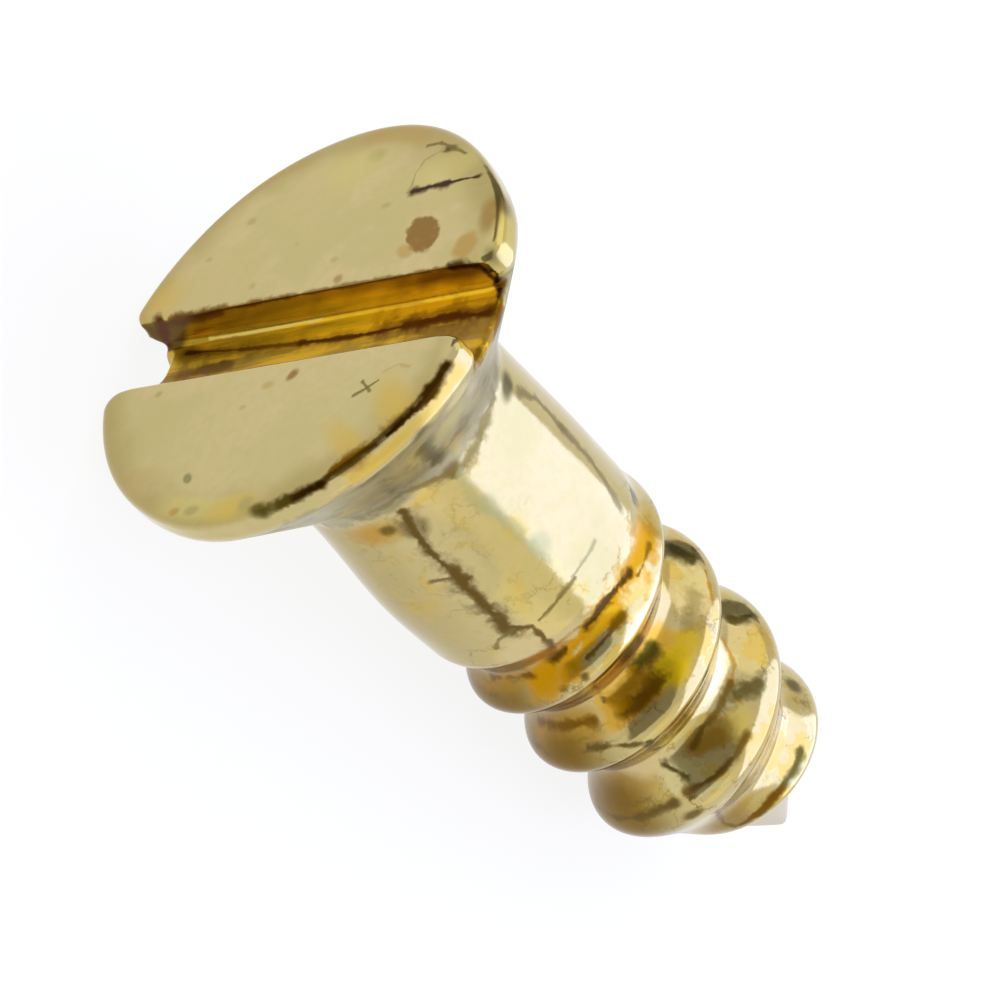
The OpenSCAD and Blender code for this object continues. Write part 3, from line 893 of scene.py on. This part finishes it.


# Tints and stains, and painted shade, highlights and reflections, laid over the bare metal, one after
# another
class Coats:
    def __init__(self, tree, finish, low, high):
        self.tree = tree
        self.finish = finish
        self.low, self.high = low, high  # the stretch of the screw that they lie on
        self.place = self.stored("screwPlace", "Vector")
        self.x, self.y, self.z = splitPlace(tree, self.place)
        self.depth = self.stored("grooveDepth")
        self.side = self.stored("grooveSide")
        self.slot = self.stored("slotDepth")
        uneven = noiseOf(tree, self.place, 5.0, 4.0, 0.65, "Color")
        self.shake = vectorCalc(tree, "SUBTRACT", uneven, (0.5, 0.5, 0.5))
        self.grain = noiseOf(tree, self.place, 8.0, 2.0)  # fine
        self.swell = noiseOf(tree, self.place, 2.6, 3.0, 0.7)  # broad
        self.density = self.step(self.grain, 0.25, 0.5, 0.92, 1.0)  # of a mark
        self.vary = self.step(self.swell, 0.25, 0.75, 0.25, 1.75)  # of a streak's width
        self.look = {"colour": finish["metal"], "rough": finish["roughness"], "metal": 1.0}

    def stored(self, name, output="Fac"):
        return addNode(self.tree, "ShaderNodeAttribute", {"attribute_name": name}).outputs[output]

    def step(self, value, low, high, lowTo=0.0, highTo=1.0):
        return between(self.tree, value, low, high, lowTo, highTo)

    def fade(self, value, name, start=0.0, end=1.0):
        return self.step(value, *fades[name], start, end)

    def times(self, *masks):
        return times(self.tree, *masks)

    def most(self, first, *others):
        for other in others:
            first = calc(self.tree, "MAXIMUM", first, other)
        return first

    def scaled(self, value, factor, other):  # value * factor + other
        return calc(self.tree, "MULTIPLY_ADD", value, factor, other)

    def effect(self, kind, output=0, **values):
        settings = {"node_tree": effects[kind]}
        node = addNode(self.tree, "ShaderNodeGroup", settings, Place=self.place, **values)
        for label, value in (("Shake", self.shake), ("Vary", self.vary)):
            if label in node.inputs:
                feed(self.tree, node.inputs[label], value)
        return node.outputs[output]

    def mottle(self, grain, level, contrast, stretch=(1, 1, 1)):
        return self.effect("mottle", Grain=grain, Level=level, Contrast=contrast, Stretch=stretch)

    def blend(self, part, share, value):
        # The mixing node keeps sockets for every kind of value, so they are asked for by number
        kind, inputs, output = ("RGBA", (0, 6, 7), 2) if part == "colour" else ("FLOAT", (0, 2, 3), 0)
        mix = addNode(self.tree, "ShaderNodeMix", {"data_type": kind})
        for number, given in zip(inputs, (share, self.look[part], value)):
            feed(self.tree, mix.inputs[number], given)
        self.look[part] = mix.outputs[output]

    def paint(self, mask, stain, strength, rough=None, metal=None):
        share = self.times(mask, strength)
        for part, value in (("colour", stains[stain]), ("rough", rough), ("metal", metal)):
            if value is not None:
                self.blend(part, share, value)

    def clouds(self, mask, contrast, stretch, *rows):  # each row: grain, level, stain, strength
        for grain, level, stain, strength in rows:
            self.paint(self.times(mask, self.mottle(grain, level, contrast, stretch)), stain, strength)

    def mark(self, masks, stain, strength):  # marks of one colour and strength, painted together
        mask = self.times(self.most(*masks), self.density)
        self.paint(mask, stain, strength, self.finish["dullRoughness"], self.finish["dullMetal"])


def paintTints(brass):
    brass.paint(brass.fade(brass.y, "upperHalf"), "upperHalf", 1.0)
    brass.paint(brass.mottle(0.55, 0.5, 0.12), "greenish", 0.7)
    brass.paint(brass.mottle(0.9, 0.54, 0.08, (1, 1.3, 1)), "pinkish", 0.8)
    brass.paint(brass.step(brass.grain, 0.42, 0.62), "greenish", 0.35)
    brass.paint(brass.effect("flecks", Grain=2.2, Size=0.1, Share=0.22), "faintOlive", 0.35)


def paintFaceEdge(brass):  # the face is darker olive towards its edge
    away = calc(brass.tree, "SQRT", brass.scaled(brass.x, brass.x, brass.times(brass.y, brass.y)))
    uneven = brass.scaled(brass.mottle(1.4, 0.5, 0.3), 0.25, away)
    edge = brass.times(brass.fade(uneven, "faceEdge"), brass.fade(brass.z, "face"))
    brass.paint(brass.times(edge, brass.fade(brass.x, "faceEnd", 1.0, 0.0)), "edgeOlive", 0.8)


def paintUnderside(brass):  # painted shade makes the shank browner underneath
    under = brass.fade(brass.scaled(brass.x, -1.0, brass.y), "under")
    brass.paint(brass.times(under, brass.fade(brass.z, "pastCone")), "edgeOlive", 0.8)


def paintCone(brass):  # the cone and the neck are dull, olive grey and patchy: partly tarnish, partly painted shade under the head
    uneven = brass.scaled(brass.mottle(2.2, 0.5, 0.3), 0.22, brass.z)
    cone = brass.times(brass.fade(brass.z, "coneFrom"), brass.fade(uneven, "coneTo", 1.0, 0.0))
    brass.paint(cone, "greyOlive", 0.95, brass.finish["coneRoughness"], brass.finish["coneMetal"])
    brass.clouds(cone, 0.12, (1, 1, 0.6), (1.5, 0.52, "greyGreen", 0.7), (2.4, 0.57, "greyTan", 0.8),
                 (3.6, 0.6, "dimOlive", 0.8))


def paintJoints(brass):  # fine brown joints and gold clouds, round the painted dark reflection along the shank and over the thread
    reflectedLineArea = brass.fade(brass.scaled(brass.x, 0.45, brass.y), "reflectedLineArea")
    reflectedLineArea = brass.most(reflectedLineArea, brass.fade(brass.z, "reflectedLineEnd"))
    reflectedLineArea = brass.times(reflectedLineArea, brass.step(brass.swell, 0.45, 0.6))
    joint = brass.effect("patches", output=1, Grain=2.1, Width=0.07, Stretch=(1, 1, 1.3), Ragged=0.5)
    lined = brass.times(reflectedLineArea, brass.fade(brass.z, "joints", 0.3, 1.0))
    brass.paint(brass.times(joint, lined), "dimOlive", 0.9)
    brass.clouds(reflectedLineArea, 0.12, (1, 1, 0.7), (2.6, 0.56, "gold", 0.6))


def paintThread(brass):  # the thread is browner than the shank, and painted shade makes it browner still under its ridges
    thread = brass.fade(brass.z, "thread")
    brass.paint(thread, "threadTan", 0.2)
    for grain, level, stain in ((1.9, 0.72, "cream"), (2.6, 0.74, "gold")):
        cell = brass.effect("patches", Grain=grain, Stretch=(1, 1, 1.5), Ragged=0.4, Level=level)
        brass.paint(brass.times(thread, cell), stain, 0.7)
    under = brass.fade(brass.scaled(brass.x, -1.3, brass.y), "underThread")
    brass.paint(brass.times(thread, under), "brownOlive", 0.9, brass.finish["underRoughness"])
    flank = brass.times(brass.step(brass.side, -0.2, 0.7), brass.step(brass.depth, 0.1, 0.6))
    rust = brass.times(brass.mottle(1.6, 0.45, 0.12, (1, 1, 1.5)), brass.fade(brass.z, "rust", 0.2, 1.0),
                       brass.step(under, 0.0, 0.3, 0.2, 1.0))
    brass.paint(brass.times(flank, rust, thread), "goldBrown", 0.7, brass.finish["rustRoughness"])

    # Thin dark lines of painted shade run along both sides of each ridge, with gaps, strongest on the
    # underside
    wander = splitPlace(brass.tree, brass.shake)[0]
    for level, grain, stain in ((0.2, 1.3, "shadeReflectionAndDirtBrown"), (0.45, 1.7, "dimOlive")):
        off = calc(brass.tree, "SUBTRACT", brass.scaled(wander, 0.35, brass.depth), level)
        line = brass.step(calc(brass.tree, "ABSOLUTE", off), 0.01, 0.06, 1.0, 0.0)
        gaps = brass.times(brass.mottle(grain, 0.52, 0.05), brass.step(under, 0.0, 0.3, 0.15, 1.0))
        brass.paint(brass.times(line, gaps, thread), stain, 0.75)


def paintGrooves(brass):
    for stain, start, stop, middle, half, raggedness, strength in grooveStains:
        if stop > brass.low and start < brass.high:
            mask = brass.effect("groove", Depth=brass.depth, Side=brass.side, From=start, To=stop,
                                Middle=math.radians(middle), Half_Turn=math.radians(half), Ragged=raggedness)
            brass.paint(mask, stain, strength, brass.finish["lacquerRoughness"], brass.finish["dullMetal"])


def paintSlot(brass):  # lacquered amber, olive brown at one end and orange at the other, with painted shade on its floor and at its olive end
    slot = brass.slot
    brass.paint(slot, "slotAmber", 1.0, brass.finish["lacquerRoughness"])
    brass.paint(brass.times(slot, brass.fade(brass.x, "slotOrange")), "orangeAmber", 0.6)
    brass.paint(brass.times(slot, brass.fade(brass.x, "slotOlive")), "oliveAmber", 0.95)
    # painted shade on the floor, over its lower half and towards the orange end
    floor = brass.times(slot, brass.fade(brass.z, "slotFloor"))
    shaded = brass.times(brass.fade(brass.x, "floorEnd"), brass.fade(brass.y, "floorUpper"))
    shaded = brass.most(shaded, brass.fade(brass.y, "floorLower", 0.0, 0.75))
    brass.paint(brass.times(floor, shaded), "floorAmber", 0.95)
    alongIt = (0.4, 4.5, 4.5)
    brass.clouds(slot, 0.05, alongIt, (1.1, 0.52, "oliveAmber", 0.4), (1.7, 0.55, "orangeAmber", 0.5),
                 (2.3, 0.6, "goldBrown", 0.5))
    # painted shade at the olive end
    end = brass.fade(brass.scaled(brass.z, 0.9, brass.x), "slotEnd")
    end = brass.times(brass.step(slot, 0.0, 0.4), end, brass.fade(brass.y, "upperWall"))
    brass.paint(end, "endAmber", 1.0)


def paintMarks(brass):
    low, high = brass.low, brass.high
    for stain, radius, height, width, middle, half, raggedness, strength in rings:
        if low < height + width and high > height - width:
            ring = brass.effect("ring", Radius=radius, Height=height, Width=width, Ragged=raggedness,
                                Middle=math.radians(middle), Half_Turn=math.radians(half), Soft=0.5)
            brass.mark([ring], stain, strength)
    for stain, centre, size, turn, soft, strength in blotches:
        if low < centre[2] + size[2] and high > centre[2] - size[2]:
            oval = brass.effect("blotch", Centre=onMetal([centre])[0], Half_Size=size,
                                Turn=math.radians(turn), Ragged=0.8 * min(size), Soft=soft)
            brass.mark([oval], stain, strength)
    for stain, width, raggedness, strength, points in streaks:
        heights = [point[2] for point in points]
        if low < max(heights) + width and high > min(heights) - width:
            places = onMetal(points)
            stretches = [brass.effect("streak", Start=start, End=end, Width=width, Ragged=raggedness)
                         for start, end in zip(places, places[1:])]
            brass.mark(stretches, stain, strength)


def paintTip(brass):  # the point is painted pale
    brass.paint(brass.fade(brass.z, "tip"), "paleTip", 1.0, brass.finish["tipRoughness"])


# What is painted on each stretch of the screw, in this order
zoneCoats = {
    "head": (paintTints, paintFaceEdge, paintUnderside, paintCone, paintSlot, paintMarks),
    "shank": (paintTints, paintUnderside, paintCone, paintJoints, paintGrooves, paintMarks),
    "thread": (paintTints, paintUnderside, paintJoints, paintThread, paintGrooves, paintMarks, paintTip),
}


def makeBrass(name, low, high, finish):
    material, tree = startMaterial("brass" + name.capitalize())
    brass = Coats(tree, finish, low, high)
    for paintCoat in zoneCoats[name]:
        paintCoat(brass)
    height = brass.effect("ripples", Broad=0.9, Fine=5.5, Fine_Share=finish["fineRipples"])
    bump = addNode(tree, "ShaderNodeBump", Height=height, Strength=1.0, Distance=finish["rippleHeight"] * mm)
    look = brass.look
    shader = addNode(tree, "ShaderNodeBsdfPrincipled", Base_Color=look["colour"], Metallic=look["metal"],
                     Roughness=look["rough"], Normal=bump.outputs["Normal"])
    addNode(tree, "ShaderNodeOutputMaterial", Surface=shader.outputs["BSDF"])
    return material


for zoneName, (zoneLow, zoneHigh) in zones.items():
    screw.data.materials.append(makeBrass(zoneName, zoneLow, zoneHigh, brassFinish))
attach(screw, "root")
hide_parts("screw")
print("brass made")

floorSettings = {
    "reach": 900,  # mm
    "colour": (0.93, 0.93, 0.93, 1),
    "white": 1.0,  # how bright the bare floor looks
    "shadowShare": 0.13,  # how much of its look is real light and shadow
}


def flatSheet(name, halfWide, halfTall):
    corners = [(x * halfWide, y * halfTall, 0) for x, y in ((-1, -1), (1, -1), (1, 1), (-1, 1))]
    mesh = bpy.data.meshes.new(name)
    mesh.from_pydata(corners, [], [(0, 1, 2, 3)])
    sheet = bpy.data.objects.new(name, mesh)
    scene.collection.objects.link(sheet)
    material, tree = startMaterial(name)
    mesh.materials.append(material)
    return sheet, tree


def makeFloor(settings):
    floor, tree = flatSheet("paleFloor", settings["reach"] * mm, settings["reach"] * mm)
    rays = addNode(tree, "ShaderNodeLightPath").outputs
    seen = calc(tree, "MAXIMUM", rays["Is Camera Ray"], rays["Is Glossy Ray"])
    seen = calc(tree, "MAXIMUM", seen, rays["Is Transmission Ray"])
    paper = addNode(tree, "ShaderNodeBsdfDiffuse", Color=settings["colour"])
    glow = addNode(tree, "ShaderNodeEmission", Color=(1, 1, 1, 1), Strength=settings["white"])
    blend = addNode(tree, "ShaderNodeMixShader")
    feedAll(tree, blend, (times(tree, seen, 1 - settings["shadowShare"]), paper.outputs[0], glow.outputs[0]))
    addNode(tree, "ShaderNodeOutputMaterial", Surface=blend.outputs[0])


makeFloor(floorSettings)

lightSettings = {
    "distance": 90,  # mm from the screw
    "softbox": {"azimuth": 107, "elevation": 50, "width": 126, "height": 160, "glow": 2.25,
                "colour": (0.4, 0.48, 1.0)},
    "warmPanel": {"azimuth": 50, "elevation": 22, "width": 50, "height": 72, "glow": 0.2,
                  "colour": (1.0, 0.86, 0.1)},
    "fill": {"azimuth": 205, "elevation": 42, "width": 70, "height": 60, "glow": 0.45,
             "colour": (1.0, 0.98, 0.9)},
    # Dark cards stand where only reflections show them
    "cards": [
        {"azimuth": -38, "elevation": 22, "width": 130, "height": 110, "distance": 90, "grey": 0.32},
        {"azimuth": 203, "elevation": 3, "width": 84, "height": 34, "distance": 60, "grey": 0.25},
    ],
}


def aimAt(thing, settings, distance):
    out = towards(settings["azimuth"], settings["elevation"])
    thing.location = out * distance * mm
    thing.rotation_mode = "QUATERNION"
    thing.rotation_quaternion = (-out).to_track_quat("-Z", "Y")


def makeLight(name, settings, distance):
    data = bpy.data.lights.new(name, "AREA")
    data.shape = "RECTANGLE"
    data.size, data.size_y = settings["width"] * mm, settings["height"] * mm
    data.color = settings["colour"]
    data.energy = settings["glow"] * math.pi * data.size * data.size_y
    light = bpy.data.objects.new(name, data)
    scene.collection.objects.link(light)
    aimAt(light, settings, distance)
    light.visible_camera = False


def makeDarkCard(settings):
    card, tree = flatSheet("darkCard", settings["width"] * mm / 2, settings["height"] * mm / 2)
    glow = addNode(tree, "ShaderNodeEmission", Color=(1, 0.95, 0.85, 1), Strength=settings["grey"])
    addNode(tree, "ShaderNodeOutputMaterial", Surface=glow.outputs[0])
    aimAt(card, settings, settings["distance"])
    card.visible_camera = False
    card.visible_diffuse = False
    card.visible_shadow = False


for lightName in ("softbox", "warmPanel", "fill"):
    makeLight(lightName, lightSettings[lightName], lightSettings["distance"])
for cardSettings in lightSettings["cards"]:
    makeDarkCard(cardSettings)


worldSettings = {
    "low": 1.0,  # brightness near the horizon
    "high": 0.86,  # and above
    "fade": (10, 25),  # degrees above the horizon
}


def makeWorld(settings):
    world = bpy.data.worlds.new("studio")
    scene.world = world
    world.use_nodes = True
    tree = world.node_tree
    tree.nodes.clear()
    height = splitPlace(tree, addNode(tree, "ShaderNodeTexCoord").outputs["Generated"])[2]
    start, stop = (math.sin(math.radians(angle)) for angle in settings["fade"])
    brightness = between(tree, height, start, stop, settings["low"], settings["high"])
    glow = addNode(tree, "ShaderNodeBackground", Color=(1, 1, 1, 1), Strength=brightness)
    addNode(tree, "ShaderNodeOutputWorld", Surface=glow.outputs[0])


makeWorld(worldSettings)
scene.view_settings.view_transform = "Standard"
print("floor, lights and world made")
